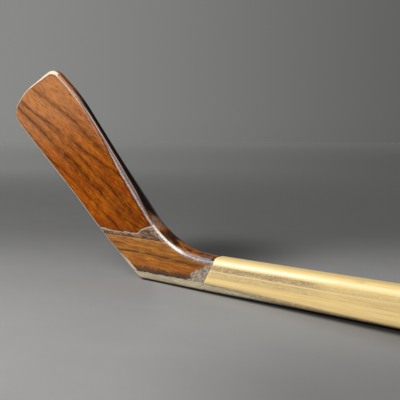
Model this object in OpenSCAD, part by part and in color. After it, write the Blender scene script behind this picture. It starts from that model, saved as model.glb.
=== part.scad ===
// Laminated wooden ice hockey stick.
// It stands on the narrow lower edge of its shaft.
// The origin is at the heel, on the sole, in the middle plane.
// +X runs along the shaft to the butt, +Z is up, and the front face looks towards -Y.

/* [Shaft] */
// Height of the shaft, across its wide faces
shaft_h = 32; // [28:1:36]
// Thickness of the shaft, front to back
shaft_t = 22; // [19:1:25]
// Length from the heel to the butt end
heel_to_butt = 1346; // [900:2:1600]
// Rounding of the two upper arrises
top_arris_r = 8; // [5:0.5:9]
// Rounding of the two lower arrises
bottom_arris_r = 6; // [4:0.5:8]
// Thickness of the outer lamina on each wide face
side_t = 3; // [2.5:0.1:3.5]
// Height of the glue line between the upper and the lower board of each outer lamina
board_split = 20; // [16:0.5:22]

/* [Blade] */
// Angle between the shaft and the blade's lower edge
lie_angle = 143; // [140:0.5:146]
// Length of the blade along its lower edge, heel to toe
blade_len = 277; // [250:1:300]
// How far the blade's lower edge bellies out between the heel and the toe
rocker = 2.6; // [0.6:0.2:4]
// Width of the blade near the toe
toe_w = 89; // [85:1:95]
// How far the toe's upper corner lies back from its lower corner
toe_lean = 35; // [25:1:41]
// Angle at which the blade widens towards the toe
flare_angle = 10.6; // [9.5:0.1:12]
// Distance from the heel to where the blade's upper edge would meet the shaft's top
throat_x = 35.5; // [33:0.5:37]
// Radius of the curve between the blade's upper edge and the shaft's top
neck_r = 100; // [80:1:110]
// Thickness of the blade at the toe
toe_t = 9; // [8:0.5:11]
// Thickness of the veneer on each blade face
veneer_t = 0.8; // [0.6:0.1:1.2]
// Width of the bare border round each veneer
border_w = 4; // [3:0.5:6]
// Thickness of the bent strip on the upper edge
strip_t = 2; // [1.5:0.1:2.5]

/* [Heel] */
// How far the heel's faces lie below the shaft's faces
heel_step = 0.6; // [0.2:0.1:0.8]
// Rounding of the heel's lower corner
heel_r = 20; // [12:1:24]
// Height of the sole strip at the heel
sole_h = 8; // [6:0.5:12]
// Distance from the heel to the sole strip's thin end
sole_run = 230; // [150:5:240]
// Distance from the heel to the lower end of the shaft's outer laminae
side_end_low = 72.5; // [70:0.5:78]
// Distance from the heel to the upper end of the shaft's outer laminae
side_end_high = 87.5; // [86:0.5:92]
// Height of the joint between the heel cheeks and the filler wedges
cheek_h = 39.5; // [38:0.5:41]
// Thickness of the blade's tongue in the shaft's slot
tongue_t = 6; // [5:0.5:8]
// Height of the slot's floor above the ground
slot_floor = 14; // [13:0.5:16]
// Diameter of the three dowels that pin the tongue
dowel_d = 8; // [6:0.5:9]

/* [Hidden] */
$fn = 64;
arc_steps = 14;         // straight pieces in each rounded corner of the blade
taper_steps = 12;       // straight pieces in the blade's taper
reach = 400;            // longer than the blade, for cutting shapes
rise = 180 - lie_angle; // slope of the blade's lower edge above the ground
heel = [-heel_r * tan(rise / 2), 0];
core_t = shaft_t - 2 * side_t;
heel_t = shaft_t - 2 * heel_step;
taper_start = 36;       // distance along the blade where it begins to thin
taper_end = 166;        // distance along the blade where it reaches its toe thickness
toe_belly = [4, 35];    // how far the toe's middle corner lies back, and its distance from the lower edge
rocker_s = 165;         // where along the blade its lower edge bellies out furthest
rocker_r = 2500;
toe_low_r = 14;         // radii of the toe's three corners and of the crest on the upper edge
toe_belly_r = 75;
toe_high_r = 21;
crest_r = 250;
heel_face_end = 100;    // distance along the blade past the heel's cheeks and wedges
wedge_lip = 4;          // height of the filler wedge at the blade's lower edge
wedge_dip = [-6, 46.5]; // where the wedge's upper boundary turns up to its peak
wedge_peak = [17, 58];
tongue_end = 66;        // distance from the heel to the tongue's far end, at the slot's floor
dowel_spots = [[0, 23], [26, 23], [52, 23]];
patch_foot = 13;        // width of the fibre patch along the sole strip
patch_lean = 1.5;       // how far the patch's heel end leans towards the heel
patch_h = 6;            // height of the fibre patch at its heel end
side_end_turn = 26;     // height where the laminae's slanted end turns upright, at the fibre patch's top

function unit(v) = v / norm(v);
function heading(v) = atan2(v.y, v.x);
function reversed(list) = [for (i = [len(list) - 1 : -1 : 0]) list[i]];
function joined(lists) = [for (list = lists) each list];

// The point at s along the blade's lower edge from the heel, and w across the blade from that edge.
function on_blade(s, w) = heel + [w * sin(rise) - s * cos(rise), s * sin(rise) + w * cos(rise)];
// The s and w of a point.
function blade_place(p) = [(p - heel) * [-cos(rise), sin(rise)], (p - heel) * [sin(rise), cos(rise)]];
// The point of the blade's lower edge at height z.
function on_lower_edge(z) = heel + [-z / tan(rise), z];
// The point at height z of the line where the shaft's outer laminae end: slanted, then upright.
function on_side_end(z) =
    [side_end_low + (side_end_high - side_end_low) * min(1, z / side_end_turn), z];

// The arc of radius r that rounds corner b between a and c.
function corner_arc(a, b, c, r) =
    let (
        u = unit(a - b),
        v = unit(c - b),
        half = acos(u * v) / 2,
        centre = b + unit(u + v) * r / sin(half),
        start = heading(b + u * r / tan(half) - centre),
        finish = heading(b + v * r / tan(half) - centre),
        sweep = (finish - start + 540) % 360 - 180
    )
    [for (i = [0 : arc_steps])
        let (turn = start + sweep * i / arc_steps) centre + r * [cos(turn), sin(turn)]];

// The corner at b once the edges a-b and b-c of a clockwise outline have moved inwards by d.
function inset_corner(a, b, c, d) =
    let (u = unit(b - a), v = unit(c - b), nu = [u.y, -u.x], nv = [v.y, -v.x])
    b + (nu + nv) * d / (1 + nu * nv);

// The blade's corners, clockwise from its lower edge to the shaft's top, and their radii.
// The first and last are on those straight edges. A negative radius marks the hollow corner at the neck.
throat = blade_place([throat_x, shaft_h]);
blade_corners = [
    on_blade(0, 0),
    on_blade(rocker_s, -rocker),
    on_blade(blade_len, 0),
    on_blade(blade_len - toe_belly.x, toe_belly.y),
    on_blade(blade_len - toe_lean, toe_w),
    on_blade(throat.x + (toe_w - throat.y) / tan(flare_angle), toe_w),
    [throat_x, shaft_h],
    [reach, shaft_h]
];
corner_radii = [0, rocker_r, toe_low_r, toe_belly_r, toe_high_r, crest_r, -neck_r, 0];
TOE_HIGH = 4;
CREST = 5;
NECK = 6;

// The same corners moved inwards by d.
function inset_corners(d) = [
    for (i = [0 : len(blade_corners) - 1])
        inset_corner(
            i == 0 ? 2 * blade_corners[0] - blade_corners[1] : blade_corners[i - 1],
            blade_corners[i],
            i == len(blade_corners) - 1 ? 2 * blade_corners[i] - blade_corners[i - 1] : blade_corners[i + 1],
            d
        )
];
// Rounded corners first to last of the blade's outline, moved inwards by d.
function blade_arcs(first, last, d) =
    let (c = inset_corners(d))
    joined([for (i = [first : last]) corner_arc(c[i - 1], c[i], c[i + 1], abs(corner_radii[i] - d))]);

// Half the stick's thickness at distance s along the blade: full at the heel, thin at the toe.
function half_t(s) =
    let (part = max(0, min(1, (s - taper_start) / (taper_end - taper_start))))
    toe_t / 2 + (heel_t - toe_t) / 4 * (1 + cos(180 * part));

// A flat outline given in X and Z, made solid from y0 to y1.
module plate(y0, y1) {
    translate([0, y1, 0]) rotate([90, 0, 0]) linear_extrude(y1 - y0) children();
}

// Everything within the stick's faces, each moved inwards by depth.
module between_faces(depth) {
    taper = [for (i = [0 : taper_steps]) let (s = taper_start + (taper_end - taper_start) * i / taper_steps)
        [-s, half_t(s) - depth]];
    side = joined([[[reach, heel_t / 2 - depth]], taper, [[-reach, toe_t / 2 - depth]]]);
    other = [for (p = reversed(side)) [p.x, -p.y]];
    translate([heel.x, 0, 0]) rotate([0, rise, 0])
        translate([0, 0, -reach / 2]) linear_extrude(reach) polygon(joined([side, other]));
}

// The part of a skin piece in front of the plane y = -inner, no thicker than the stick's face there.
module front_skin(inner) {
    intersection() {
        plate(-shaft_t, -inner) children();
        between_faces(0);
    }
}

// The shaft's section all along, with its rounded arrises.
module shaft_bar() {
    rotate([90, 0, 90]) translate([-shaft_t / 2, 0, -reach / 2]) linear_extrude(heel_to_butt + reach / 2) {
        translate([bottom_arris_r, 0]) square([shaft_t - 2 * bottom_arris_r, shaft_h]);
        translate([top_arris_r, shaft_h / 2]) square([shaft_t - 2 * top_arris_r, shaft_h / 2]);
        translate([0, bottom_arris_r]) square([shaft_t, shaft_h - bottom_arris_r - top_arris_r]);
        for (y = [bottom_arris_r, shaft_t - bottom_arris_r])
            translate([y, bottom_arris_r]) circle(bottom_arris_r);
        for (y = [top_arris_r, shaft_t - top_arris_r])
            translate([y, shaft_h - top_arris_r]) circle(top_arris_r);
    }
}

// The blade's whole outline down to the shaft's top.
module blade_outline() {
    polygon(joined([[on_lower_edge(shaft_h), on_lower_edge(cheek_h + wedge_lip)], blade_arcs(1, NECK, 0)]));
}

// The outline of the blade's tongue, and of the slot in the shaft that takes it.
module tongue_outline() {
    polygon([
        on_lower_edge(slot_floor), on_lower_edge(shaft_h),
        [tongue_end + shaft_h - slot_floor, shaft_h], [tongue_end, slot_floor]
    ]);
}

// The band under the blade's upper edge and the neck that the bent strip fills.
module strip_outline() {
    start = blade_place(blade_arcs(TOE_HIGH, TOE_HIGH, 0)[arc_steps]);
    outer = joined([[on_blade(start.x, toe_w)], blade_arcs(CREST, NECK, 0), [on_side_end(shaft_h)]]);
    inner = joined([[on_blade(start.x, toe_w - strip_t)], blade_arcs(CREST, NECK, strip_t),
        [on_side_end(shaft_h - strip_t)]]);
    polygon(joined([outer, reversed(inner)]));
}

// The heel's whole face, from the sole strip up to the bent strip.
module heel_outline() {
    polygon(joined([
        [on_lower_edge(sole_h), on_blade(heel_face_end, 0), on_blade(heel_face_end, strip_t)],
        blade_arcs(NECK, NECK, strip_t),
        [on_side_end(shaft_h - strip_t), on_side_end(side_end_turn), on_side_end(sole_h)]
    ]));
}

// The filler wedge: thin at the blade's lower edge, with a peak at the neck.
module wedge_outline() {
    polygon([
        [-reach, cheek_h], [-reach, cheek_h + wedge_lip], on_lower_edge(cheek_h) + [0, wedge_lip],
        wedge_dip, wedge_peak, [reach, wedge_peak.y], [reach, cheek_h]
    ]);
}

// The fibre patch between the cheek and the shaft's outer laminae.
module patch_outline() {
    foot = on_side_end(sole_h);
    polygon([
        foot, foot - [patch_foot, 0], foot + [-patch_foot - patch_lean, patch_h], on_side_end(side_end_turn)
    ]);
}

module veneer_front() {
    difference() {
        intersection() {
            plate(-shaft_t, 0)
                difference() {
                    polygon(joined([[inset_corners(border_w)[0]], blade_arcs(1, NECK, border_w)]));
                    polygon([[-reach, -reach], [-reach, cheek_h + wedge_lip],
                        on_lower_edge(cheek_h) + [0, wedge_lip], wedge_dip, wedge_peak,
                        [reach, wedge_peak.y], [reach, -reach]]);
                }
            between_faces(0);
        }
        between_faces(veneer_t);
    }
}

module cheek_front() {
    front_skin(core_t / 2) difference() {
        intersection() {
            heel_outline();
            translate([-reach, 0]) square([2 * reach, cheek_h]);
        }
        patch_outline();
    }
}

module wedge_front() {
    front_skin(core_t / 2) intersection() {
        heel_outline();
        wedge_outline();
    }
}

module patch_front() {
    front_skin(core_t / 2) patch_outline();
}

module back() {
    mirror([0, 1, 0]) children();
}

module dowels() {
    for (spot = dowel_spots)
        translate([spot.x, core_t / 2, spot.y]) rotate([90, 0, 0]) cylinder(h = core_t, d = dowel_d);
}

module bent_strip() {
    intersection() {
        plate(-shaft_t, shaft_t) strip_outline();
        between_faces(0);
    }
}

// The upper and the lower board of the lamina on the shaft's front.
module side_front_upper() {
    intersection() {
        plate(-shaft_t, -core_t / 2)
            polygon([on_side_end(board_split), on_side_end(side_end_turn), on_side_end(shaft_h),
                [heel_to_butt, shaft_h], [heel_to_butt, board_split]]);
        shaft_bar();
    }
}

module side_front_lower() {
    intersection() {
        plate(-shaft_t, -core_t / 2)
            polygon([on_side_end(sole_h), on_side_end(board_split), [heel_to_butt, board_split],
                [heel_to_butt, 0], [sole_run, 0]]);
        shaft_bar();
    }
}

module shaft_core() {
    color("burlywood") difference() {
        intersection() {
            plate(-core_t / 2, core_t / 2)
                polygon([on_lower_edge(sole_h), on_lower_edge(shaft_h), [heel_to_butt, shaft_h],
                    [heel_to_butt, 0], [sole_run, 0], on_side_end(sole_h)]);
            union() {
                shaft_bar();
                translate([-reach / 2, -core_t / 2, 0])
                    cube([reach / 2 + side_end_high, core_t, shaft_h]);
            }
        }
        plate(-tongue_t / 2, tongue_t / 2) tongue_outline();
        bent_strip();
        dowels();
    }
}

module shaft_side_front_upper() {
    color("wheat") side_front_upper();
}

module shaft_side_front_lower() {
    color("navajowhite") side_front_lower();
}

module shaft_side_back_upper() {
    color("wheat") back() side_front_upper();
}

module shaft_side_back_lower() {
    color("navajowhite") back() side_front_lower();
}

module sole_strip() {
    color("antiquewhite")
        plate(-heel_t / 2, heel_t / 2)
            polygon(joined([
                [[sole_run, 0]], corner_arc([reach, 0], heel, on_lower_edge(sole_h), heel_r),
                [on_lower_edge(sole_h), on_side_end(sole_h)]
            ]));
}

module heel_cheek_front() {
    color("peru") cheek_front();
}

module heel_cheek_back() {
    color("peru") back() cheek_front();
}

module heel_wedge_front() {
    color("dimgray") wedge_front();
}

module heel_wedge_back() {
    color("dimgray") back() wedge_front();
}

module heel_patch_front() {
    color("darkgray") patch_front();
}

module heel_patch_back() {
    color("darkgray") back() patch_front();
}

module heel_dowels() {
    color("tan") dowels();
}

module blade_core() {
    color("moccasin") difference() {
        union() {
            intersection() {
                plate(-shaft_t, shaft_t) blade_outline();
                between_faces(0);
            }
            plate(-tongue_t / 2, tongue_t / 2) tongue_outline();
        }
        veneer_front();
        wedge_front();
        cheek_front();
        back() veneer_front();
        back() wedge_front();
        back() cheek_front();
        bent_strip();
        dowels();
    }
}

module blade_veneer_front() {
    color("sienna") veneer_front();
}

module blade_veneer_back() {
    color("sienna") back() veneer_front();
}

module top_edge_strip() {
    color("saddlebrown") bent_strip();
}

shaft_core();
shaft_side_front_upper();
shaft_side_front_lower();
shaft_side_back_upper();
shaft_side_back_lower();
sole_strip();
heel_cheek_front();
heel_cheek_back();
heel_wedge_front();
heel_wedge_back();
heel_patch_front();
heel_patch_back();
heel_dowels();
blade_core();
blade_veneer_front();
blade_veneer_back();
top_edge_strip();
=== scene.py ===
"""A laminated wooden ice hockey stick, standing on the lower edge of its shaft.

The stick's side view is cut into cells by its outline and its glue lines. Each sub-part is then the set of
cells and layers that it fills, so that neighbours share every edge of a joint. Lengths are in millimetres
until a mesh is made.
"""

import math

import bmesh
import bpy
import numpy as np
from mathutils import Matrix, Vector, noise
from mathutils.geometry import delaunay_2d_cdt


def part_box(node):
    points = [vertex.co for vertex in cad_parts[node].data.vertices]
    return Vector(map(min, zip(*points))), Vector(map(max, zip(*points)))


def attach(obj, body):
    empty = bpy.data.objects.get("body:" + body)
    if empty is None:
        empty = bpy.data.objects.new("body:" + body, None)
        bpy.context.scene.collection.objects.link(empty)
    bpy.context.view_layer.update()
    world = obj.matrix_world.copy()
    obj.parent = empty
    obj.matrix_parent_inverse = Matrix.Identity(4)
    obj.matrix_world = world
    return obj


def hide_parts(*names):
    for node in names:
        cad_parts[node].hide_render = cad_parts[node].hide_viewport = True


MM = 0.001

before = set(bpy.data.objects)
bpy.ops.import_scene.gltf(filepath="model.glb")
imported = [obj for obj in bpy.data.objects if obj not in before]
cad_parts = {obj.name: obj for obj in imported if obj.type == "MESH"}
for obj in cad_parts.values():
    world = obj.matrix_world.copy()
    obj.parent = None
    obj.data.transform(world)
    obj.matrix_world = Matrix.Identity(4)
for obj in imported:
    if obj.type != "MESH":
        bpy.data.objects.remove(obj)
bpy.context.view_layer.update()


# ---------------------------------------------------------------- sizes, from the frame and the design

def node_box(name):
    """Lowest and highest corner of a CAD node, in millimetres."""
    low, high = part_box(name)
    return np.array(low) / MM, np.array(high) / MM


core_high = node_box("shaft_core")[1]
side_low = node_box("shaft_side_front_upper")[0]
cheek_low, cheek_high = node_box("heel_cheek_front")
strip_high = node_box("top_edge_strip")[1]
sole_high = node_box("sole_strip")[1]

SHAFT_TOP = core_high[2]
BUTT_X = core_high[0]
SHAFT_HALF = -side_low[1]           # half the shaft's thickness
CORE_HALF = core_high[1]            # half the centre stave's thickness
HEEL_HALF = -cheek_low[1]           # half the heel's thickness
CHEEK_TOP = cheek_high[2]
SOLE_TOP = sole_high[2]
SOLE_END = sole_high[0]
SIDE_END_TOP = strip_high[0]        # where the shaft's outer laminae begin, at the shaft's top
SEAM_Z = side_low[2]                # glue line between the upper and the lower board

LIE = math.radians(143)             # angle between the shaft and the blade's lower edge
RISE = math.pi - LIE
HEEL_R = 20
HEEL = np.array([-HEEL_R * math.tan(RISE / 2), 0])
SIDE_END_BOTTOM = 72.5
SIDE_END_TURN = 26                  # height where the end of the shaft's outer laminae turns upright
BLADE_LEN = 277
TOE_W = 89
TOE_LEAN = 35                       # how much shorter the blade is along its upper edge
TOE_MID_W, TOE_MID_BACK = 35, 4     # the toe's middle corner: up from the lower edge, and back from the end
TOE_LOW_R, TOE_MID_R, TOE_HIGH_R = 14, 75, 21
CREST_R = 250                       # where the upper edge turns down towards the neck
FLARE = math.radians(10.6)
THROAT_X = 35.5
NECK_R = 100
ROCKER, ROCKER_S, ROCKER_R = 2.6, 165, 2500     # the belly of the blade's lower edge
VENEER_T = 0.8
TOE_HALF = 4.5
TAPER_START, TAPER_END = 36, 166
ARRIS_TOP, ARRIS_BOTTOM = 8, 6      # rounding of the shaft's arrises
TOE_ARRIS = (4.0, 2.4, 0.3)         # width, depth and roundness
BUTT_ARRIS = (1.2, 1.0, 0.9)
BUTT_SHRINK = 0.97                  # of the centre stave's last section
STRIP_SHARES = (1, 0.8, 0.6, 0.4, 0.22, 0.08, 0)    # places across the bent strip's side, from its rim
FINE = 2.2                          # usual distance between two points of the outline
GRID_STEP = 2.6                     # of the points inside it
INSETS = (0.5, 1.3)                 # distances from a glue line that get points of their own
LOOP_GAP = 0.35                     # the least distance of any other point from a glue line
POINT_GAP = 0.45                    # size of the squares that keep one point each
SAME = 0.02                         # points closer than this are one point
EASE_WIDTH = 0.6                    # beside a glue line, where the face is drawn in
UPPER_ARRIS = (                     # of the blade's upper edge, against distance along the blade
    (-62, -34, -4, 26, 56, 96, 156, 226),
    (8, 7.4, 6.5, 6.0, 5.9, 5.8, 4.4, 3.4),     # width on the face
    (3.0, 2.8, 2.3, 2.0, 1.3, 1.0, 1.6, 2.0),   # half the narrow face that is left between the arrises
    (1.0, 0.9, 0.6, 0.3, 0.25, 0.2, 0.25, 0.3),  # from a flat bevel, 0, to a round arris, 1
)


# ---------------------------------------------------------------- the side view

def on_blade(s, w):
    """The point at s along the blade's lower edge from the heel, and w across from that edge."""
    return HEEL + [w * math.sin(RISE) - s * math.cos(RISE), s * math.sin(RISE) + w * math.cos(RISE)]


def blade_place(p):
    """The s and w of points given in x and z."""
    d = np.asarray(p) - HEEL
    return (
        -d[..., 0] * math.cos(RISE) + d[..., 1] * math.sin(RISE),
        d[..., 0] * math.sin(RISE) + d[..., 1] * math.cos(RISE),
    )


def on_lower_edge(z):
    return HEEL + [-z / math.tan(RISE), z]


def side_end_x(z):
    """Where the shaft's outer laminae begin at height z."""
    return SIDE_END_BOTTOM + (SIDE_END_TOP - SIDE_END_BOTTOM) * min(1.0, z / SIDE_END_TURN)


def unit(v):
    return v / np.linalg.norm(v)


def corner_arc(a, b, c, r, step=2.0):
    """Points of the arc of radius r that rounds corner b between a and c."""
    u, v = unit(a - b), unit(c - b)
    half = math.acos(np.dot(u, v)) / 2
    centre = b + unit(u + v) * r / math.sin(half)
    first = b + u * r / math.tan(half) - centre
    last = b + v * r / math.tan(half) - centre
    start = math.atan2(first[1], first[0])
    sweep = (math.atan2(last[1], last[0]) - start + 3 * math.pi) % (2 * math.pi) - math.pi
    count = max(6, int(abs(sweep) * r / step))
    turns = start + sweep * np.arange(count + 1) / count
    return centre + r * np.stack([np.cos(turns), np.sin(turns)], axis=1)


def spaced(a, b, step):
    """Points from a up to, not including, b, about step apart."""
    count = max(1, round(float(np.linalg.norm(np.subtract(b, a))) / step))
    return [np.asarray(a) + np.subtract(b, a) * i / count for i in range(count)]


def bridged(*parts):
    """The points of all parts in a row, with more of them across the gaps between the parts."""
    points = list(parts[0])
    for part in parts[1:]:
        points += spaced(points[-1], part[0], FINE)[1:] + list(part)
    return points


def build_stations():
    """Distances from the heel along the plain shaft, close near the sole strip's end and wide further on."""
    places, step = [SOLE_END], FINE
    while places[-1] + 1.5 * step < BUTT_X:
        places.append(places[-1] + step)
        step = min(1.25 * step, 28.0)
    return np.array(places + [BUTT_X])


ARC_SHARES = [1 - math.cos(math.radians(turn)) for turn in range(0, 91, 15)] + [1.3]
STATIONS = build_stations()
SHAFT_ROWS = np.array(              # heights that carry the section's shape, from the top down
    [SHAFT_TOP - ARRIS_TOP * share for share in ARC_SHARES] + [22.3, SEAM_Z, 18.0, 16.0, 14.0, 12.0, 10.0]
    + [ARRIS_BOTTOM * share for share in ARC_SHARES[::-1]])


def build_outline():
    """The stick's outline, clockwise from the heel, with the arris along each point.

    Returns points, and for each point the bevel's width, its depth and how round it is, and whether the
    bent strip covers the edge there.
    """
    throat_s, throat_w = blade_place([THROAT_X, SHAFT_TOP])
    crest_s = throat_s + (TOE_W - throat_w) / math.tan(FLARE)
    corners = [
        (on_blade(0, 0), 0),
        (on_blade(ROCKER_S, -ROCKER), ROCKER_R),
        (on_blade(BLADE_LEN, 0), TOE_LOW_R),
        (on_blade(BLADE_LEN - TOE_MID_BACK, TOE_MID_W), TOE_MID_R),
        (on_blade(BLADE_LEN - TOE_LEAN, TOE_W), TOE_HIGH_R),
        (on_blade(crest_s, TOE_W), CREST_R),
        (np.array([THROAT_X, SHAFT_TOP]), NECK_R),
        (np.array([BUTT_X, SHAFT_TOP]), 0),
    ]
    arcs = [corner_arc(corners[i - 1][0], c, corners[i + 1][0], r)
            for i, (c, r) in enumerate(corners) if r]
    belly, toe_low, toe_mid, toe_high, crest, neck = arcs
    heel_arc = corner_arc(np.array([50.0, 0.0]), HEEL, on_lower_edge(30.0), HEEL_R, step=0.8)
    side_top, run_out = (SIDE_END_TOP, SHAFT_TOP), (SOLE_END, 0.0)
    sections = [
        ("low", bridged(heel_arc, belly, toe_low[:1])[:-1]),
        ("toe", bridged(toe_low, toe_mid, toe_high)[:-1]),
        ("up", bridged(toe_high[-1:], crest, neck, [side_top])[:-1]),
        ("top", spaced(side_top, (SOLE_END, SHAFT_TOP), FINE)
            + [np.array([x, SHAFT_TOP]) for x in STATIONS[:-1]]),
        ("butt", [np.array([BUTT_X, z]) for z in SHAFT_ROWS[:-1]]),
        ("bottom", [np.array([x, 0.0]) for x in STATIONS[:0:-1]] + spaced(run_out, heel_arc[0], FINE)),
    ]
    points, arris, covered = [], [], []
    for name, section in sections:
        for p in section:
            points.append(p)
            arris.append(arris_at(name, p))
            covered.append(name == "up")
    return np.array(points), np.array(arris), np.array(covered)


def ramp(x, x0, x1, y0, y1):
    """y0 before x0, y1 after x1, and a smooth change between."""
    t = np.clip((x - x0) / (x1 - x0), 0, 1)
    return y0 + (y1 - y0) * t * t * (3 - 2 * t)


def half_thickness(s, heel_half):
    """Half the thickness between the faces, away from the arrises, at s along the blade."""
    t = np.clip((s - TAPER_START) / (TAPER_END - TAPER_START), 0, 1)
    return TOE_HALF + (heel_half - TOE_HALF) * (1 + np.cos(math.pi * t)) / 2


def arris_at(section, p):
    """Width, depth and roundness of the arris beside outline point p."""
    s = float(blade_place(p)[0])
    if section == "low":
        return ramp(s, 10, 60, 2.0, 3.0), ramp(s, 10, 60, 1.6, 2.0), 0.4
    if section == "toe":
        return TOE_ARRIS
    if section == "up":
        width, top_half, round_ = (np.interp(s, UPPER_ARRIS[0], row) for row in UPPER_ARRIS[1:])
        full = HEEL_HALF + (SHAFT_HALF - HEEL_HALF) * ramp(-s, 40, 60, 0, 1)
        return width, float(half_thickness(s, full)) - top_half, round_
    if section == "top":
        return ARRIS_TOP, ARRIS_TOP, 1.0
    if section == "butt":
        return BUTT_ARRIS
    return tuple(ramp(p[0], 60, SOLE_END, *ends) for ends in
                 ((2.4, ARRIS_BOTTOM), (1.8, ARRIS_BOTTOM), (0.6, 1.0)))


OUTLINE, ARRIS, COVERED = build_outline()


def nearest(points, line, closed):
    """For each point, its distance to a polyline, and the index and fraction of the nearest place on it."""
    points = np.atleast_2d(points)
    a = line if closed else line[:-1]
    b = np.roll(line, -1, axis=0) if closed else line[1:]
    ab = b - a
    best = np.full(len(points), 1e9)
    index = np.zeros(len(points), int)
    part = np.zeros(len(points))
    for start in range(0, len(points), 500):
        p = points[start:start + 500, None, :]
        t = np.clip(((p - a) * ab).sum(2) / np.maximum((ab * ab).sum(1), 1e-9), 0, 1)
        d = np.linalg.norm(a + t[..., None] * ab - p, axis=2)
        k = d.argmin(axis=1)
        rows = np.arange(len(k))
        best[start:start + 500] = d[rows, k]
        index[start:start + 500] = k
        part[start:start + 500] = t[rows, k]
    return best, index, part


def inward_normals(line):
    """The inward normal at each point of the clockwise outline."""
    along = np.roll(line, -1, axis=0) - np.roll(line, 1, axis=0)
    along /= np.linalg.norm(along, axis=1)[:, None]
    return np.stack([along[:, 1], -along[:, 0]], axis=1)


NORMALS = inward_normals(OUTLINE)


def face_depth(points, heel_half):
    """Distance of the outer surface from the stick's middle plane at each point of the side view."""
    d, k, t = nearest(points, OUTLINE, True)
    following = np.roll(ARRIS, -1, axis=0)
    width, depth, round_ = (ARRIS[k] * (1 - t[:, None]) + following[k] * t[:, None]).T
    near = np.clip(1 - d / width, 0, 1)
    drop = depth * ((1 - round_) * near + round_ * (1 - np.sqrt(1 - near * near)))
    return half_thickness(blade_place(points)[0], heel_half) - drop, d


# ---------------------------------------------------------------- glue lines between the sub-parts

def ragged(line, size, pitch, seed):
    """The line with small irregular sideways steps of up to size, and its two ends left alone."""
    line = np.asarray(line, float)
    along = np.gradient(line, axis=0)
    along /= np.linalg.norm(along, axis=1)[:, None]
    side = np.stack([along[:, 1], -along[:, 0]], axis=1)
    moved = np.array([
        noise.noise(Vector((p[0] / pitch, p[1] / pitch, seed)))
        + 0.5 * noise.noise(Vector((p[0] * 3 / pitch, p[1] * 3 / pitch, seed + 7))) for p in line])
    moved[0] = moved[-1] = 0
    return line + side * (moved * size)[:, None]


def resampled(corners, step=1.2):
    """A polyline through the corners with points about step apart."""
    points = []
    for a, b in zip(corners, corners[1:]):
        points += spaced(a, b, step)
    return np.array(points + [np.asarray(corners[-1])])


def outline_inset(first, last, depth):
    """Outline points first to last, each moved inwards by the depth that depth(point) gives."""
    picked = range(first, last + 1)
    return np.array([OUTLINE[k] + NORMALS[k] * depth(OUTLINE[k]) for k in picked])


def strip_reach(p):
    """How far the bent strip reaches down the face at outline point p."""
    return float(np.interp(blade_place(p)[0], (-30, 20, 60, 160, 195), (2.8, 2.6, 1.3, 1.1, 2.3)))


def border_reach(p):
    """How far in from the outline the veneer's edge lies, at outline point p."""
    s, w = blade_place(p)
    if w < 43 and s < 250:
        return 2.7
    if s > 234:
        return ramp(w, 43, 85, 2.7, 4.8)
    return ramp(s, 185, 225, ramp(s, 86, 146, 4.6, 2.3), 4.4)


def crossing(line, test):
    """Index of the first point of the line that passes the test."""
    return next(i for i, p in enumerate(line) if test(p))


UP_FIRST = int(np.argmax(COVERED))
UP_LAST = len(COVERED) - 1 - int(np.argmax(COVERED[::-1]))
WEDGE_LIP = 4
WEDGE_SHOULDER = np.array([-33.0, 44.3])
WEDGE_DIP = np.array([-6.0, 46.5])
WEDGE_PEAK_X = 10.0
PATCH_FOOT, PATCH_LEAN, PATCH_H = 13, 1.5, 6
BOARD_TOP = SHAFT_TOP - ARRIS_TOP + math.sqrt(ARRIS_TOP ** 2 - (ARRIS_TOP - SHAFT_HALF + CORE_HALF) ** 2)
BOARD_LOW = ARRIS_BOTTOM - math.sqrt(ARRIS_BOTTOM ** 2 - (ARRIS_BOTTOM - SHAFT_HALF + CORE_HALF) ** 2)


def side_end(z):
    return np.array([side_end_x(z), z])


def along_shaft(start, z):
    """The line at height z from x = start to the butt, through the shaft's stations."""
    return np.array(spaced((start, z), (SOLE_END, z), FINE) + [np.array([x, z]) for x in STATIONS])


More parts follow.
